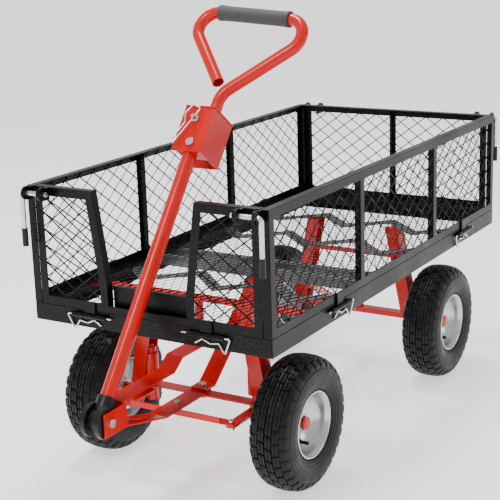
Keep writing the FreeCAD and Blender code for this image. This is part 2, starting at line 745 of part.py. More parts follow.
web_y = clevis_y + clevis_back
cheek_low = clevis_z - clevis_half_height
nose_y = front_axle_y + drawbar_half
pivot_clear = upright_hole(0, front_axle_y, pivot_bolt / 2 + turn_gap)
fork = flat_strip([(web_y, cheek_low), (drawbar_bend_y, drawbar_plate_bottom),
                   (nose_y, drawbar_plate_bottom)], clevis_half, drawbar_sheet)
outline = plate([V(-clevis_half, web_y - 1, 0), V(clevis_half, web_y - 1, 0),
                 V(drawbar_half, drawbar_bend_y, 0), V(drawbar_half, front_axle_y, 0),
                 V(0, nose_y, 0), V(-drawbar_half, front_axle_y, 0),
                 V(-drawbar_half, drawbar_bend_y, 0)], V(0, 0, tray_top))
window = plate([V(-window_half, web_y + 10, 0), V(window_half, web_y + 10, 0),
                V(0, drawbar_bend_y - 10, 0)], V(0, 0, tray_top))
tie_hole = upright_hole(0, tie_y, tie_bolt / 2)
save("drawbar_fork", fork.common(outline).cut(window).cut(pivot_clear).cut(tie_hole).removeSplitter())

upper_arm = flat_strip([(web_y - cheek_sheet, upper_arm_z), (joggle_front_y, upper_arm_z),
                        (joggle_rear_y, upper_arm_high_z), (nose_y, upper_arm_high_z)],
                       upper_arm_half, drawbar_sheet)
save("drawbar_upper_arm", upper_arm.cut(pivot_clear))

web = block(-clevis_half, clevis_half, web_y - cheek_sheet, web_y, cheek_low, upper_arm_z)
cheeks = [block(x, x + cheek_sheet, clevis_y - clevis_front, web_y, cheek_low, upper_arm_z)
          for x in (-clevis_half, clevis_half - cheek_sheet)]
clevis_hole = rod(V(-clevis_half, clevis_y, clevis_z), V(clevis_half, clevis_y, clevis_z), clevis_bolt / 2)
save("drawbar_clevis", fuse([web] + cheeks).cut(clevis_hole))

bolt_end = clevis_half + 5.0
nut_end = clevis_half + 7.0
clevis_pin = fuse([
    rod(V(-nut_end, clevis_y, clevis_z), V(bolt_end, clevis_y, clevis_z), clevis_bolt / 2),
    rod(V(clevis_half, clevis_y, clevis_z), V(bolt_end, clevis_y, clevis_z), 9.0),
    rod(V(-nut_end, clevis_y, clevis_z), V(-clevis_half, clevis_y, clevis_z), 8.5)])
plate_top = drawbar_plate_bottom + drawbar_sheet
centre_pin = fuse([
    rod(V(0, tie_y, tie_bottom - 8), V(0, tie_y, plate_top), tie_bolt / 2),
    rod(V(0, tie_y, plate_top), V(0, tie_y, plate_top + 6), 7.0),
    rod(V(0, tie_y, tie_top + body_gap), V(0, tie_y, drawbar_plate_bottom), 8.0)])
save("drawbar_bolts", [clevis_pin, centre_pin])

# The steering post in two bolts on one axis: the lower one carries the fork and the upper one the arm.
def post_bolt(low, high, collars):
    """A bolt from one height to another, with its collars as (low, high, radius)."""
    spans = [(low, high, pivot_bolt / 2)] + collars
    return fuse([rod(V(0, front_axle_y, z0), V(0, front_axle_y, z1), radius) for z0, z1, radius in spans])


strap_top = strap_foot_z + strap_sheet
save("steering_post", [
    post_bolt(beam_top - beam_sheet - 8, strap_top + 8,
              [(beam_top - beam_sheet - 8, beam_top - beam_sheet, 9.5),
               (beam_top, drawbar_plate_bottom - body_gap, 12.0), (strap_top, strap_top + 7, 9.5)]),
    post_bolt(upper_arm_high_z - 8, member_top,
              [(upper_arm_high_z - 8, upper_arm_high_z - body_gap, 9.5),
               (upper_arm_high_z + drawbar_sheet + body_gap, leg_top, 10.0)])])

# ---- handle -------------------------------------------------------------------------------------
# Drawn upright on the clevis bolt with t up the tube, then leaned back about the bolt.
def lean(shape):
    out = shape.copy()
    out.rotate(V(0, 0, 0), V(1, 0, 0), -tow_lean)
    out.translate(V(0, clevis_y, clevis_z))
    return out


bolt_hole = rod(V(pivot_x, -99, loop_pivot_t), V(pivot_x, 99, loop_pivot_t), loop_bolt / 2)
tube_end = box_start + 40.0
tube = pipe(V(0, 0, tube_start), V(0, 0, tube_end), tow_radius, tow_radius - tow_wall)
save("tow_tube", lean(tube.cut(bolt_hole)))

discs = [rod(V(x, 0, 0), V(x + disc_sheet, 0, 0), socket_radius)
         for x in (-socket_half, socket_half - disc_sheet)]
core = rod(V(-socket_half, 0, 0), V(socket_half, 0, 0), core_radius)
collar = rod(V(0, 0, 6), V(0, 0, socket_radius + 14), tow_radius + 4.0)
socket = fuse(discs + [core, collar])
socket = socket.cut(rod(V(0, 0, tube_start), V(0, 0, 99), tow_radius))
socket = socket.cut(rod(V(-99, 0, 0), V(99, 0, 0), clevis_bolt / 2 + turn_gap))
save("handle_socket", lean(socket))

# The hitch box is a channel open on the cart's right. Y here is minus the distance in front of the tube.
box_y0 = -box_front
box_y1 = box_y0 + box_depth
box_end = box_start + box_length
loop_y = -loop_offset
outer = block(-box_width / 2, box_width / 2, box_y0, box_y1, box_start, box_end)
inner = block(-box_width / 2 - 1, box_width / 2 - box_sheet, box_y0 + box_sheet, box_y1 - box_sheet,
              box_start - 1, box_end + 1)
shelf = block(-box_width / 2 + 12, box_width / 2 - box_sheet, box_y0 + box_sheet, tow_radius + 4,
              box_start, box_start + box_sheet)
cap = block(-box_width / 2, box_width / 2 + 2, box_y0 - 2, box_y1 + 2, box_end, box_end + box_sheet)
slot = block(-box_width, stem_x + loop_radius + 8, loop_y - loop_radius - 1, loop_y + loop_radius + 1,
             box_end - 1, box_end + box_sheet + 1)
hitch = fuse([outer.cut(inner), shelf, cap.cut(slot)]).cut(rod(V(0, 0, 0), V(0, 0, tube_end), tow_radius))
pin_hole = rod(V(pin_x, -99, hitch_pin_t), V(pin_x, 99, hitch_pin_t), hitch_bolt / 2 + turn_gap)
save("hitch_box", lean(hitch.cut(bolt_hole).cut(pin_hole).removeSplitter()))

# The loop handle: a flat stem on the pivot bolt, then one tube round to an open end under the grip.
loop_points = [V(x, loop_y, t) for x, t in loop_line]
loop_path = route(loop_points, loop_bends)
loop_bar = pipe_along(loop_path, loop_points, loop_radius, loop_radius - loop_wall)
stem_y0 = loop_y - stem_sheet / 2
stem_y1 = loop_y + stem_sheet / 2
stem_top = loop_points[0].z
stem = rod(V(pivot_x, stem_y0, loop_pivot_t), V(pivot_x, stem_y1, loop_pivot_t), stem_half)
stem = stem.fuse(block(stem_x - stem_half, stem_x + stem_half, stem_y0, stem_y1, loop_pivot_t, stem_top))
stem = stem.cut(rod(V(pivot_x, 0, loop_pivot_t), V(pivot_x, 99, loop_pivot_t), loop_bolt / 2 + turn_gap))
# Open towards the left, so that the loop can fold to the right off the hitch pin.
stem = stem.cut(block(pin_x - hitch_bolt / 2 - notch_gap, stem_x + stem_half + 1, stem_y0, stem_y1,
                      hitch_pin_t - hitch_bolt / 2 - 3 * notch_gap, hitch_pin_t + hitch_bolt / 2 + notch_gap))
plug = rod(loop_points[0], loop_points[0] + V(0, 0, 6), loop_radius - loop_wall)
save("handle_loop", lean(fuse([loop_bar, plug, stem.removeSplitter()])))

grip_run = loop_path.Edges[4]
grip = pipe(grip_run.firstVertex().Point, grip_run.lastVertex().Point, grip_radius, loop_radius)
save("handle_grip", lean(grip))

save("loop_pivot_bolt", lean(fuse([
    rod(V(pivot_x, box_y0 - 6, loop_pivot_t), V(pivot_x, box_y1 + 8, loop_pivot_t), loop_bolt / 2),
    rod(V(pivot_x, box_y0 - 6, loop_pivot_t), V(pivot_x, box_y0, loop_pivot_t), 9.0),
    rod(V(pivot_x, box_y1, loop_pivot_t), V(pivot_x, box_y1 + 8, loop_pivot_t), 9.0),
    rod(V(pivot_x, tow_radius, loop_pivot_t), V(pivot_x, stem_y0 - body_gap, loop_pivot_t), 8.0),
    rod(V(pivot_x, stem_y1 + body_gap, loop_pivot_t), V(pivot_x, box_y1 - box_sheet, loop_pivot_t), 8.0),
])))

clip_y = box_y0 - 11.0
clip = bent_rod([V(x, clip_y, t) for x, t in clip_line], clip_wire / 2, 5.0)
pin = rod(V(pin_x, clip_y - 6, hitch_pin_t), V(pin_x, box_y1 + 8, hitch_pin_t), hitch_bolt / 2)
pin_collar = rod(V(pin_x, box_y0 - 5, hitch_pin_t), V(pin_x, box_y0 - body_gap, hitch_pin_t),
                 hitch_bolt / 2 + 3)
save("hitch_pin", [lean(pin.fuse(pin_collar).cut(clip).removeSplitter()), lean(clip)])
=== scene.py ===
import json
import math

import bmesh
import bpy
from mathutils import Matrix, Vector

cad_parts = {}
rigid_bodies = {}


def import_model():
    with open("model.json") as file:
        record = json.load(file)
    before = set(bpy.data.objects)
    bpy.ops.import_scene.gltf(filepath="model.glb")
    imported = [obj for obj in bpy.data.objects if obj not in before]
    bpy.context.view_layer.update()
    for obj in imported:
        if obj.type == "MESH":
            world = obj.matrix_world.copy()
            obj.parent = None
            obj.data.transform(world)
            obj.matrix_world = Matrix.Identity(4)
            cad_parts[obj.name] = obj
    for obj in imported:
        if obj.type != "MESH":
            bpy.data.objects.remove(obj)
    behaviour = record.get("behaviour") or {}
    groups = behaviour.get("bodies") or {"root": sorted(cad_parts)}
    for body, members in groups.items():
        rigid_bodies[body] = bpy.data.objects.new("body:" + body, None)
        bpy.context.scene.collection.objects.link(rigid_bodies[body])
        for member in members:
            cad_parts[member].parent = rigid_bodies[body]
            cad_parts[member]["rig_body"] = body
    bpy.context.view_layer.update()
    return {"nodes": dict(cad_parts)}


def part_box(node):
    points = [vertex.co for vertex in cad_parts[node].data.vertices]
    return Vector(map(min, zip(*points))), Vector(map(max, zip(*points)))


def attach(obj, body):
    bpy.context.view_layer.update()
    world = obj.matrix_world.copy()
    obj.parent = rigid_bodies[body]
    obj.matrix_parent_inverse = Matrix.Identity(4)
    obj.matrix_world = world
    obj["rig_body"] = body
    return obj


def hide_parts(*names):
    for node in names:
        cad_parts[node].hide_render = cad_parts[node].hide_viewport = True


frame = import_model()
nodes = frame["nodes"]

# The frame is in metres: +X to the cart's own left, -Y its front, Z up from the ground.
ROW_SHIFT = 0.090
MM = 0.001

# ---- sizes shared with the frame, in millimetres before the shift to the row's middle -------------
PANEL_HALF_LENGTH = 620.0
PANEL_HALF_WIDTH = 305.0
PANEL_LOW = 413.9
PANEL_HIGH = 674.9
END_PANEL_HALF = 281.5
NOTCH_LOW = 103.5
NOTCH_HIGH = 131.0
NOTCH_KNEE = 473.4
MESH_LONG = 52.0
MESH_SHORT = 38.0
MESH_DEPTH = 2.5
MESH_SHEET = 1.6
MESH_STRAND = 3.3
FLOOR_LONG = 44.0
FLOOR_SHORT = 22.0
FLOOR_SHEET = 1.8
FLOOR_STRAND = 1.7
MESH_INSET = 3.0
FLOOR_LOW = 406.5
CLEVIS = Vector((0.0, -801.0, 250.0))
LEAN = math.radians(37.5)
GRIP_ENDS = (Vector((120.8, 30.5, 971.4)), Vector((-68.7, 30.5, 986.1)))
TIP_TOP = 585.4
NUT_LOW = 194.5
NUT_HIGH = 204.0


def row(x, y, z):
    """A point in millimetres about the tray's middle, in the row frame."""
    return Vector((x * MM, y * MM + ROW_SHIFT, z * MM))


# ---- shader arithmetic ---------------------------------------------------------------------------
class Level:
    """A socket of a finish, so that shader maths can be written as an expression."""

    def __init__(self, finish, socket):
        self.finish = finish
        self.socket = socket

    def maths(self, operation, first, second):
        return self.finish.add("ShaderNodeMath", {"operation": operation}, {0: first, 1: second})

    def __add__(self, other):
        return self.maths("ADD", self, other)

    def __radd__(self, other):
        return self.maths("ADD", other, self)

    def __mul__(self, other):
        return self.maths("MULTIPLY", self, other)

    def __rmul__(self, other):
        return self.maths("MULTIPLY", other, self)


class Finish:
    """A material with one surface shader."""

    def __init__(self, name, colour, roughness, **fixed):
        self.material = bpy.data.materials.new(name)
        self.material.use_nodes = True
        self.tree = self.material.node_tree
        self.shader = self.tree.nodes["Principled BSDF"]
        self.set("Base Color", (*colour, 1.0))
        self.set("Roughness", roughness)
        for socket, value in fixed.items():
            self.set(socket.replace("_", " "), value)
        self.place = self.add("ShaderNodeTexCoord", {}, {}, "Object")

    def set(self, socket, value):
        """Gives the shader's socket a number, a colour or a Level."""
        if isinstance(value, Level):
            self.tree.links.new(value.socket, self.shader.inputs[socket])
        else:
            self.shader.inputs[socket].default_value = value

    def add(self, kind, settings, sockets, output=0):
        """Adds any node: its settings first, then the values or links of its sockets."""
        node = self.tree.nodes.new(kind)
        for name, value in settings.items():
            setattr(node, name, value)
        for name, value in sockets.items():
            if isinstance(value, Level):
                self.tree.links.new(value.socket, node.inputs[name])
            else:
                node.inputs[name].default_value = value
        return Level(self, node.outputs[output])

    def noise(self, scale, detail=2.0):
        """Noise from 0 to 1 over the surface."""
        return self.add("ShaderNodeTexNoise", {}, {"Vector": self.place, "Scale": scale, "Detail": detail},
                        "Fac")

    def step(self, level, low, high, floor=0.0, top=1.0):
        """A level spread from one range to another, and held at its ends."""
        return self.add("ShaderNodeMapRange", {}, {"Value": level, "From Min": low, "From Max": high,
                                                   "To Min": floor, "To Max": top})

    def tint(self, level, first, second):
        """A colour between two, by a level."""
        return self.add("ShaderNodeMix", {"data_type": "RGBA"},
                        {"Factor": level, 6: (*first, 1.0), 7: (*second, 1.0)}, 2)

    def relief(self, height, depth, strength=1.0):
        """Raises the surface by a height from 0 to 1, depth in metres."""
        bump = self.add("ShaderNodeBump", {}, {"Height": height, "Distance": depth, "Strength": strength})
        self.set("Normal", bump)


def black_coat():
    """Gloss black coat with the fine hammered texture of a sprayed frame, and pale specks painted into its
    colour as glints.
    """
    coat = Finish("black_coat", (0.005, 0.005, 0.005), 0.30, Specular_IOR_Level=0.16)
    mottle = coat.noise(420.0, 3.0)
    # pale specks in the base colour are painted glints, standing in for light caught by tiny facets of the
    # coat
    painted_glints = coat.step(coat.noise(520.0, 4.0), 0.60, 0.70)
    film = coat.noise(7.0, 3.0)
    coat.set("Base Color", coat.tint(painted_glints, (0.001, 0.001, 0.001), (0.05, 0.05, 0.05)))
    coat.set("Roughness", coat.step(film, 0.35, 0.65, 0.19, 0.33) + 0.08 * mottle)
    coat.relief(mottle, 0.0007, 0.65)
    return coat.material


def red_paint():
    """Gloss red paint with a little orange peel and slight pooling."""
    paint = Finish("red_paint", (0.72, 0.002, 0.001), 0.22, Specular_IOR_Level=0.32)
    peel = paint.noise(170.0, 1.0)
    film = paint.noise(9.0, 3.0)
    paint.set("Base Color", paint.tint(paint.step(film, 0.3, 0.7), (0.50, 0.0010, 0.0005),
                                       (0.60, 0.0018, 0.0009)))
    paint.set("Roughness", paint.step(film, 0.3, 0.7, 0.18, 0.27))
    paint.relief(peel, 0.00022, 0.35)
    return paint.material


def zinc_plate():
    """Bright zinc plate, faintly cloudy, with fine drawing marks."""
    plate = Finish("zinc_plate", (0.72, 0.72, 0.71), 0.24, Metallic=1.0)
    cloud = plate.noise(60.0, 3.0)
    plate.set("Base Color", plate.tint(plate.step(cloud, 0.3, 0.7), (0.60, 0.60, 0.59), (0.80, 0.80, 0.79)))
    plate.set("Roughness", plate.step(cloud, 0.3, 0.7, 0.16, 0.34))
    plate.relief(plate.noise(900.0), 0.0001, 0.3)
    return plate.material


def spun_rim():
    """Silver rim paint over spun steel, with faint rings from the spinning."""
    rim = Finish("spun_rim", (0.50, 0.51, 0.52), 0.27, Metallic=0.95, Coat_Weight=0.25,
                 Coat_Roughness=0.10)
    cloud = rim.noise(24.0, 3.0)
    rim.set("Base Color", rim.tint(rim.step(cloud, 0.3, 0.7), (0.46, 0.47, 0.48), (0.56, 0.57, 0.58)))
    rim.set("Roughness", rim.step(cloud, 0.3, 0.7, 0.24, 0.31))
    rim.relief(rim.noise(700.0), 0.00006, 0.2)
    return rim.material


def tyre_rubber():
    """Black tyre rubber with a dull bloom and a fine mould grain."""
    rubber = Finish("tyre_rubber", (0.008, 0.008, 0.008), 0.45, Specular_IOR_Level=0.22)
    bloom = rubber.noise(38.0, 4.0)
    grain = rubber.noise(620.0, 3.0)
    rubber.set("Base Color", rubber.tint(rubber.step(bloom, 0.35, 0.7), (0.003, 0.003, 0.003),
                                         (0.010, 0.0096, 0.009)))
    rubber.set("Roughness", rubber.step(bloom, 0.3, 0.7, 0.34, 0.54))
    rubber.relief(grain, 0.0003, 0.4)
    return rubber.material


def grip_foam():
    """Closed-cell foam with small open pores."""
    foam = Finish("grip_foam", (0.045, 0.046, 0.045), 0.66, Sheen_Weight=0.08, Sheen_Roughness=0.5)
    cells = foam.add("ShaderNodeTexVoronoi", {}, {"Vector": foam.place, "Scale": 900.0}, "Distance")
    cloud = foam.noise(45.0, 3.0)
    foam.set("Base Color", foam.tint(foam.step(cloud, 0.3, 0.7), (0.030, 0.031, 0.030),
                                     (0.052, 0.053, 0.051)))
    foam.set("Roughness", foam.step(cloud, 0.3, 0.7, 0.56, 0.74))
    foam.relief(foam.step(cells, 0.0, 0.6), 0.0004, 0.5)
    return foam.material


def moulded_plastic():
    """Satin black moulded plastic with a fine spark-eroded grain."""
    plastic = Finish("moulded_plastic", (0.006, 0.006, 0.006), 0.34, Specular_IOR_Level=0.3)
    grain = plastic.noise(700.0, 3.0)
    plastic.set("Roughness", plastic.step(plastic.noise(30.0), 0.3, 0.7, 0.30, 0.44))
    plastic.set("Base Color", plastic.tint(grain, (0.003, 0.003, 0.003), (0.007, 0.007, 0.007)))
    plastic.relief(grain, 0.00015, 0.4)
    return plastic.material


def grey_enamel():
    """Dark grey enamel on the stamped members below the floor."""
    enamel = Finish("grey_enamel", (0.075, 0.078, 0.080), 0.33, Coat_Weight=0.3, Coat_Roughness=0.15)
    mottle = enamel.noise(260.0, 3.0)
    enamel.set("Base Color", enamel.tint(mottle, (0.055, 0.057, 0.060), (0.105, 0.108, 0.110)))
    enamel.set("Roughness", enamel.step(enamel.noise(11.0, 3.0), 0.3, 0.7, 0.26, 0.42))
    enamel.relief(mottle, 0.0003, 0.4)
    return enamel.material


BLACK = black_coat()
RED = red_paint()
ZINC = zinc_plate()
RIM = spun_rim()
RUBBER = tyre_rubber()
FOAM = grip_foam()
PLASTIC = moulded_plastic()
GREY = grey_enamel()
SLOTS = {"black_coat": BLACK, "red_paint": RED, "zinc": ZINC, "rim_silver": RIM, "tyre": RUBBER,
         "grip_foam": FOAM, "socket_plastic": PLASTIC, "floor_grey": GREY}


# ---- piece making --------------------------------------------------------------------------------
def piece(name, mesh, slot, replaced, extra=()):
    """Makes the object of a finished bmesh that stands for the CAD nodes it replaces."""
    data = bpy.data.meshes.new(name)
    mesh.to_mesh(data)
    mesh.free()
    data.shade_smooth()
    made = bpy.data.objects.new(name, data)
    bpy.context.scene.collection.objects.link(made)
    for material in (SLOTS[slot], *extra):
        data.materials.append(material)
    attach(made, nodes[replaced[0]]["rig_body"])
    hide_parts(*replaced)
    return made


def softened(node, slot, width, extra=(), choose=None, crease=24.0):
    """A copy of a CAD node with its triangles joined and its edges rounded."""
    mesh = bmesh.new()
    mesh.from_mesh(nodes[node].data)
    bmesh.ops.remove_doubles(mesh, verts=mesh.verts, dist=0.00001)
    bmesh.ops.dissolve_limit(mesh, angle_limit=math.radians(0.5), verts=mesh.verts, edges=mesh.edges)
    if choose:
        for face in mesh.faces:
            face.material_index = choose(face.calc_center_median())
    made = piece(node + "_finish", mesh, slot, [node], extra)
    made.data.set_sharp_from_angle(angle=math.radians(crease))
    bevel = made.modifiers.new("edges", "BEVEL")
    bevel.width = width * MM
    bevel.segments = 2
    bevel.limit_method = "ANGLE"
    bevel.angle_limit = math.radians(max(crease + 1.0, 30.0))
    bevel.harden_normals = True
    return made


def spun(points, axis, centre, steps):
    """A closed ring: a profile of (along, radius) points turned about an axis through the centre."""
    mesh = bmesh.new()
    side = axis.orthogonal().normalized()
    verts = [mesh.verts.new(centre + axis * along + side * radius) for along, radius in points]
    edges = [mesh.edges.new(pair) for pair in zip(verts, verts[1:] + verts[:1])]
    bmesh.ops.spin(mesh, geom=verts + edges, cent=centre, axis=axis, angle=2 * math.pi, steps=steps,
                   use_merge=True)
    bmesh.ops.recalc_face_normals(mesh, faces=mesh.faces)
    return mesh


def joined(mesh, part, material=0):
    """Adds one bmesh to another with a material, and frees it."""
    for face in part.faces:
        face.material_index = material
    data = bpy.data.meshes.new("part")
    part.to_mesh(data)
    part.free()
    mesh.from_mesh(data)
    bpy.data.meshes.remove(data)


# ---- wheels --------------------------------------------------------------------------------------
WHEEL_STEPS = 96
CROWN = 147.4
SHOULDER_LOW = 123.5
TREAD_ROWS = [
    # across from, across to, height above the casing, share of the pitch, stagger, slant
    (1.0, 15.8, 4.5, 0.86, 0.0, 0.10),
    (17.6, 32.0, 4.4, 0.84, 0.5, -0.10),
    (34.0, 47.0, 3.8, 0.68, 0.0, 0.06),
]
TREAD_COUNT = 32
TREAD_START = {1: 0.25, -1: 0.75}  # share of the pitch where each side's lugs start
CASING = [(36.4, 71.0), (37.0, 77.5), (41.0, 79.0), (42.6, 82.5), (43.4, 83.3), (44.9, 87.0),
          (45.4, 90.2), (46.6, 91.0), (47.4, 96.0), (47.9, 97.0), (48.4, 101.0), (49.0, 101.7),
          (49.0, 103.0), (48.6, 103.8), (48.8, 107.0), (49.4, 107.7), (49.4, 109.0), (49.0, 109.8),
          (49.1, 113.0), (49.6, 113.7), (49.5, 115.0), (49.0, 115.8), (48.6, 120.0), (48.9, 120.8),
          (48.7, 122.0), (48.0, 122.8), (46.4, 129.0), (42.4, 136.0), (36.0, 141.0),
          (27.0, 144.5), (14.0, 146.7)]
LINER = [(0.0, 137.0), (22.0, 134.5), (34.0, 127.0), (39.0, 112.0), (36.0, 92.0), (27.0, 80.0),
         (27.0, 71.0)]


def casing_radius(across):
    """Radius of the casing at a distance across the tread, over its shoulder."""
    points = [(0.0, CROWN)] + [(u, r) for u, r in reversed(CASING) if r > SHOULDER_LOW]
    for (u0, r0), (u1, r1) in zip(points, points[1:]):
        if u0 <= across <= u1:
            return r0 + (r1 - r0) * (across - u0) / (u1 - u0)
    return points[-1][1]


def tread_block(low, high, height, share, slant, centre, side):
    """One lug: its section across the tread, turned through part of a pitch and slanted."""
    pitch = 2 * math.pi / TREAD_COUNT
    middle = (low + high) / 2
    foot = [(u, casing_radius(u) - 1.2) for u in (low, middle, high)]
    head = [(low + 0.6, height), (middle - 1.6, height), (middle - 0.8, height - 2.4),
            (middle + 0.8, height - 2.4), (middle + 1.6, height), (high - 0.6, height)]
    head = [(u, casing_radius(u) + rise) for u, rise in head]
    mesh = bmesh.new()
    verts = [mesh.verts.new((side * u * MM, 0.0, r * MM)) for u, r in foot + head[::-1]]
    face = mesh.faces.new(verts)
    bmesh.ops.spin(mesh, geom=[face, *face.verts, *face.edges], cent=(0, 0, 0), axis=(1, 0, 0),
                   angle=pitch * share, steps=3)
    bmesh.ops.recalc_face_normals(mesh, faces=mesh.faces)
    for vert in mesh.verts:
        turn = Matrix.Rotation(slant * pitch * (abs(vert.co.x) / MM - middle) / (high - low), 3, "X")
        vert.co = turn @ vert.co
    rim_edges = [e for e in mesh.edges if e.calc_face_angle(0.0) > 0.9]
    bmesh.ops.bevel(mesh, geom=rim_edges, offset=0.8 * MM, segments=1, affect="EDGES", profile=0.5,
                    material=-1)
    bmesh.ops.translate(mesh, verts=mesh.verts, vec=centre)
    return mesh


def tyre(name, centre):
    """A hollow casing with its sidewall rings, and rows of separate lugs on both sides."""
    profile = CASING + [(0.0, CROWN)] + [(-u, r) for u, r in reversed(CASING)]
    profile += [(-u, r) for u, r in reversed(LINER)] + LINER[1:]
    mesh = spun([(u * MM, r * MM) for u, r in profile], Vector((1, 0, 0)), centre, WHEEL_STEPS)
    pitch = 2 * math.pi / TREAD_COUNT
    for side in (-1, 1):
        for low, high, height, share, stagger, slant in TREAD_ROWS:
            lug = tread_block(low, high, height, share, slant * side, centre, side)
            offset = (stagger + TREAD_START[side]) * pitch
            bmesh.ops.rotate(lug, verts=lug.verts, cent=centre, matrix=Matrix.Rotation(offset, 3, "X"))
            bmesh.ops.spin(lug, geom=[*lug.verts, *lug.edges, *lug.faces], cent=centre, axis=(1, 0, 0),
                           angle=2 * math.pi, steps=TREAD_COUNT, use_duplicate=True)
            bmesh.ops.delete(lug, geom=lug.verts[:len(lug.verts) // (TREAD_COUNT + 1)], context="VERTS")
            joined(mesh, lug)
    made = piece("tyre_tread_" + name, mesh, "tyre", ["tyre_" + name])
    made.data.set_sharp_from_angle(angle=math.radians(42.0))


RIM_OUTER = [(36.6, 69.0), (37.2, 73.0), (39.0, 75.4), (40.8, 75.8), (41.8, 74.6), (41.6, 72.4),
             (39.6, 70.6), (36.5, 69.0), (34.0, 66.5), (31.0, 65.2), (26.0, 64.6), (20.0, 63.2),
             (14.0, 60.2), (8.0, 55.0), (2.4, 48.0), (-2.0, 41.0), (-5.0, 34.0), (-5.6, 29.0),
             (-3.4, 25.0), (2.0, 21.6), (8.0, 20.0), (12.8, 19.3), (13.9, 18.4), (14.0, 16.5)]
RIM_BACK = [(14.0, 9.6), (-32.0, 9.6), (-32.0, 18.4), (-26.0, 20.4), (-15.0, 24.0), (-10.4, 30.0),
            (-8.6, 40.0), (-3.0, 50.0), (-4.0, 59.0), (-16.0, 62.6), (-28.0, 65.0), (-34.0, 66.8),
            (-39.6, 70.6), (-41.8, 73.2), (-40.4, 75.8), (-37.4, 73.6), (-36.6, 69.0), (-27.0, 68.6),
            (-20.0, 67.4), (0.0, 64.6), (20.0, 67.4), (27.0, 68.6)]


def valve_stem(centre, side):
    """Rubber valve stem with its cap, standing off the dish."""
    stem = [(0.0, 0.0), (0.0, 6.0), (3.0, 5.0), (6.0, 3.9), (15.0, 3.7), (15.6, 4.1), (23.0, 4.1),
            (24.0, 3.2), (24.0, 0.0)]
    base = centre + Vector((side * 1.0, 0.0, -47.0)) * MM
    points = [(u * MM, max(r, 0.01) * MM) for u, r in stem]
    return spun(points, Vector((side, 0, 0)), base, 16)


def rim(name, centre):
    """A dished rim, with the hub's seal and the valve stem in rubber."""
    side = 1 if centre.x > 0 else -1
    axis = Vector((side, 0, 0))
    mesh = spun([(u * MM, r * MM) for u, r in RIM_OUTER + RIM_BACK], axis, centre, WHEEL_STEPS)
    seal = [(13.2, 10.0), (14.0, 10.4), (14.6, 12.0), (14.6, 14.8), (14.0, 16.4), (13.2, 16.4)]
    joined(mesh, spun([(u * MM, r * MM) for u, r in seal], axis, centre, 48), 1)
    joined(mesh, valve_stem(centre, side), 1)
    made = piece("rim_dish_" + name, mesh, "rim_silver", ["rim_" + name], [RUBBER])
    made.data.set_sharp_from_angle(angle=math.radians(50.0))


for wheel in ("front_left", "front_right", "rear_left", "rear_right"):
    low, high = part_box("tyre_" + wheel)
    tyre(wheel, (low + high) / 2)
    rim(wheel, (low + high) / 2)


# ---- expanded mesh -------------------------------------------------------------------------------
def strands(outline, long_way, short_way, depth, thick, wide):
    """Zigzag strands over an outline of (across, up) points, drawn upright at a depth, in millimetres."""
    low_u = min(u for u, w in outline)
    high_u = max(u for u, w in outline)
    low_w = min(w for u, w in outline)
    high_w = max(w for u, w in outline)
    step = Vector((long_way / 2, 0, 0)) * MM
    count = int((high_u - low_u) / long_way * 2) + 4
    middle = (low_u + high_u) / 2 - (count // 2) * long_way / 2
    mesh = bmesh.new()
    for chain in (0, 1):
        rise = short_way / 4 * (1 if chain else -1)
        base = low_w - short_way / 4 + chain * short_way / 2
        section = [(depth, -wide / 2), (depth + thick * 0.6, -wide / 2),
                   (depth + thick, wide / 2), (depth + thick * 0.4, wide / 2)]
        verts = [mesh.verts.new((middle * MM, y * MM, (base + rise + w) * MM)) for y, w in section]
        face = mesh.faces.new(verts)
        for n in range(count):
            grown = bmesh.ops.extrude_face_region(mesh, geom=[face])["geom"]
            face = [g for g in grown if isinstance(g, bmesh.types.BMFace)][0]
            way = step + Vector((0, 0, -2 * rise * MM if n % 2 == 0 else 2 * rise * MM))
            bmesh.ops.translate(mesh, verts=face.verts, vec=way)
    rows = int((high_w - low_w) / short_way) + 2
    bmesh.ops.spin(mesh, geom=[*mesh.verts, *mesh.edges, *mesh.faces], dvec=(0, 0, short_way * MM),
                   axis=(1, 0, 0), angle=0.0, steps=rows, use_duplicate=True)
    corners = [Vector((u * MM, 0, w * MM)) for u, w in outline]
    inside = sum(corners, Vector()) / len(corners)
    for start, end in zip(corners, corners[1:] + corners[:1]):
        across = (end - start).cross(Vector((0, 1, 0))).normalized()
        if across.dot(inside - start) > 0:
            across.negate()
        cut = bmesh.ops.bisect_plane(mesh, geom=[*mesh.verts, *mesh.edges, *mesh.faces], plane_co=start,
                                     plane_no=across, clear_outer=True)
        edges = [g for g in cut["geom_cut"] if isinstance(g, bmesh.types.BMEdge) and g.is_boundary]
        bmesh.ops.edgeloop_fill(mesh, edges=edges)
    bmesh.ops.recalc_face_normals(mesh, faces=mesh.faces)
    return mesh


FACES = {"front": (0, (0, -PANEL_HALF_LENGTH, 0)), "left": (90, (PANEL_HALF_WIDTH, 0, 0)),
         "rear": (180, (0, PANEL_HALF_LENGTH, 0)), "right": (270, (-PANEL_HALF_WIDTH, 0, 0))}


def stood(mesh, face):
    """Turns a mesh drawn against the front face to the named face of the tray."""
    angle, place = FACES[face]
    turn = Matrix.Translation(row(*place)) @ Matrix.Rotation(math.radians(angle), 4, "Z")
    bmesh.ops.transform(mesh, matrix=turn, verts=mesh.verts)
    return mesh


def panel_strands(outline):
    """The strands of an upright panel over its outline."""
    return strands(outline, MESH_LONG, MESH_SHORT, MESH_DEPTH, MESH_SHEET, MESH_STRAND)


def whole_panel(face, half, node):
    """The mesh of a panel with no notch, from its half length."""
    outline = [(-half, PANEL_LOW), (half, PANEL_LOW), (half, PANEL_HIGH), (-half, PANEL_HIGH)]
    piece("expanded_mesh_" + face, stood(panel_strands(outline), face), "black_coat", [node])


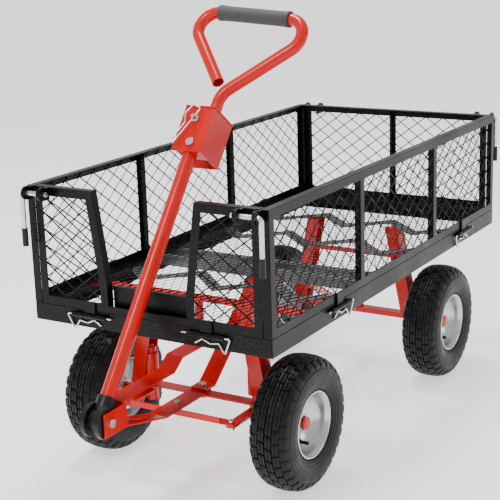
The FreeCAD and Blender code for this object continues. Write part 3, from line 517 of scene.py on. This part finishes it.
def front_mesh():
    """The front panel's mesh, in two halves beside its notch."""
    mesh = bmesh.new()
    for side in (-1, 1):
        outline = [(side * NOTCH_LOW, PANEL_LOW), (side * END_PANEL_HALF, PANEL_LOW),
                   (side * END_PANEL_HALF, PANEL_HIGH), (side * NOTCH_HIGH, PANEL_HIGH),
                   (side * NOTCH_LOW, NOTCH_KNEE)]
        joined(mesh, panel_strands(outline))
    piece("expanded_mesh_front", stood(mesh, "front"), "black_coat", ["front_panel_mesh"])


def floor_mesh():
    """The tray's mesh, laid flat."""
    half_x = PANEL_HALF_WIDTH - MESH_INSET
    half_y = PANEL_HALF_LENGTH - MESH_INSET
    outline = [(-half_y, -half_x), (half_y, -half_x), (half_y, half_x), (-half_y, half_x)]
    mesh = strands(outline, FLOOR_LONG, FLOOR_SHORT, 0.0, FLOOR_SHEET, FLOOR_STRAND)
    laid = Matrix(((0, 0, 1, 0), (1, 0, 0, 0), (0, 1, 0, 0), (0, 0, 0, 1)))
    bmesh.ops.transform(mesh, matrix=Matrix.Translation(row(0, 0, FLOOR_LOW)) @ laid,
                        verts=mesh.verts)
    piece("expanded_mesh_floor", mesh, "black_coat", ["floor_mesh"])


for face in ("left", "right"):
    whole_panel(face, PANEL_HALF_LENGTH - MESH_INSET, "side_panel_mesh_" + face)
whole_panel("rear", END_PANEL_HALF, "rear_panel_mesh")
front_mesh()
floor_mesh()


# ---- handle --------------------------------------------------------------------------------------
def leaned(point):
    """A point of the upright handle, leaned back about the clevis bolt, in the row frame."""
    turned = Matrix.Rotation(-LEAN, 3, "X") @ point
    return row(*(turned + CLEVIS))


def foam_sleeve():
    """The foam grip, a little thicker at its ends."""
    start, end = leaned(GRIP_ENDS[0]), leaned(GRIP_ENDS[1])
    axis = (end - start).normalized()
    length = (end - start).length / MM
    outer = [(0.0, 14.3), (0.0, 17.6), (0.9, 18.6), (6.0, 18.7), (16.0, 17.6), (34.0, 17.3),
             (length / 2, 17.5), (length - 34.0, 17.3), (length - 16.0, 17.6), (length - 6.0, 18.7),
             (length - 0.9, 18.6), (length, 17.6), (length, 14.3)]
    mesh = spun([(u * MM, r * MM) for u, r in outer], axis, start, 48)
    piece("grip_sleeve", mesh, "grip_foam", ["handle_grip"])


foam_sleeve()

# ---- frame pieces with rounded edges -------------------------------------------------------------
ROUNDED = {
    "black_coat": {
        1.2: ["side_panel_frame_left", "side_panel_frame_right", "front_panel_frame", "rear_panel_frame",
              "tray_rail_front", "tray_rail_rear", "tray_rail_left", "tray_rail_right", "front_sill"],
        0.6: ["front_panel_hinges", "rear_panel_hinges", "side_panel_hinges_left",
              "side_panel_hinges_right", "hinge_knuckles", "front_latch_eyes", "rear_latch_eyes",
              "latch_guides_left", "latch_guides_right"]},
    "red_paint": {
        1.0: ["front_axle_beam", "front_axle_frame", "rear_axle_frame", "rear_axle", "brace_straps",
              "drawbar_fork", "drawbar_upper_arm", "drawbar_clevis", "tie_rod", "hitch_box",
              "steering_knuckle_left", "steering_knuckle_right", "kingpin_sleeves"],
        0.5: ["tow_tube", "handle_loop"]},
    "socket_plastic": {2.0: ["handle_socket"]},
    "floor_grey": {0.8: ["floor_cross_members"]},
    "zinc": {0.4: ["drawbar_bolts", "tie_rod_bolts", "loop_pivot_bolt"]},
}
FOLDED = ["drawbar_fork", "drawbar_upper_arm", "brace_straps", "hitch_box", "front_axle_beam",
          "front_axle_frame", "rear_axle_frame", "tie_rod", "floor_cross_members", "front_sill"]
for slot, widths in ROUNDED.items():
    for width, names in widths.items():
        for node in names:
            softened(node, slot, width, crease=9.0 if node in FOLDED else 24.0)


def tip_or_rod(point):
    """The material of a latch pin at a point: its rubber tip below, its rod above."""
    return 1 if point.z < TIP_TOP * MM else 0


def nut_or_post(point):
    """The material of the steering post at a point: zinc for the nut above the strap."""
    return 1 if NUT_LOW * MM < point.z < NUT_HIGH * MM else 0


softened("steering_post", "red_paint", 1.0, [ZINC], nut_or_post)
for corner in ("front_left", "front_right", "rear_left", "rear_right"):
    softened("latch_pin_" + corner, "zinc", 0.4, [PLASTIC], tip_or_rod)

for node in ("hinge_pins", "hitch_pin"):
    nodes[node].data.materials.clear()
    nodes[node].data.materials.append(ZINC)


# ---- studio --------------------------------------------------------------------------------------
def studio_floor():
    """A wide, plain, pale floor."""
    mesh = bmesh.new()
    bmesh.ops.create_grid(mesh, x_segments=1, y_segments=1, size=60.0)
    data = bpy.data.meshes.new("studio_floor")
    mesh.to_mesh(data)
    mesh.free()
    floor = bpy.data.objects.new("studio_floor", data)
    bpy.context.scene.collection.objects.link(floor)
    paper = Finish("studio_paper", (0.86, 0.86, 0.86), 0.9, Specular_IOR_Level=0.1,
                   Emission_Color=(1.0, 1.0, 1.0, 1.0), Emission_Strength=0.9)
    paper.set("Roughness", paper.step(paper.noise(3.0), 0.3, 0.7, 0.86, 0.94))
    data.materials.append(paper.material)


def lamp(name, place, aim, size, power):
    """A square soft light at a place, facing a point."""
    light = bpy.data.lights.new(name, "AREA")
    light.shape = "SQUARE"
    light.size = size
    light.energy = power
    made = bpy.data.objects.new(name, light)
    made.location = place
    made.rotation_euler = (Vector(aim) - Vector(place)).to_track_quat("-Z", "Y").to_euler()
    bpy.context.scene.collection.objects.link(made)


def surroundings():
    """An even, pale room."""
    world = bpy.data.worlds.new("room")
    world.use_nodes = True
    bpy.context.scene.world = world
    tree = world.node_tree
    background = tree.nodes["Background"]
    background.inputs["Color"].default_value = (1.0, 1.0, 1.0, 1.0)
    background.inputs["Strength"].default_value = 0.8


studio_floor()
surroundings()
lamp("key", (-0.4, -2.6, 3.2), (0.0, 0.0, 0.4), 0.8, 50.0)
lamp("side", (3.4, 1.6, 1.4), (0.0, 0.0, 0.4), 0.8, 12.0)
lamp("top", (-0.6, 0.2, 3.4), (0.0, 0.0, 0.3), 1.0, 80.0)

# ---- camera --------------------------------------------------------------------------------------
camera_data = bpy.data.cameras.new("camera")
camera_data.lens = 90.7
camera_data.sensor_width = 36.0
camera = bpy.data.objects.new("camera", camera_data)
right = Vector((0.85802, 0.51270, -0.03070))
up = Vector((-0.10762, 0.23791, 0.96531))
turn = Matrix((right, up, right.cross(up))).transposed().to_4x4()
camera.matrix_world = Matrix.Translation(row(1507.5, -2669.5, 1237.2)) @ turn
bpy.context.scene.collection.objects.link(camera)
bpy.context.scene.camera = camera
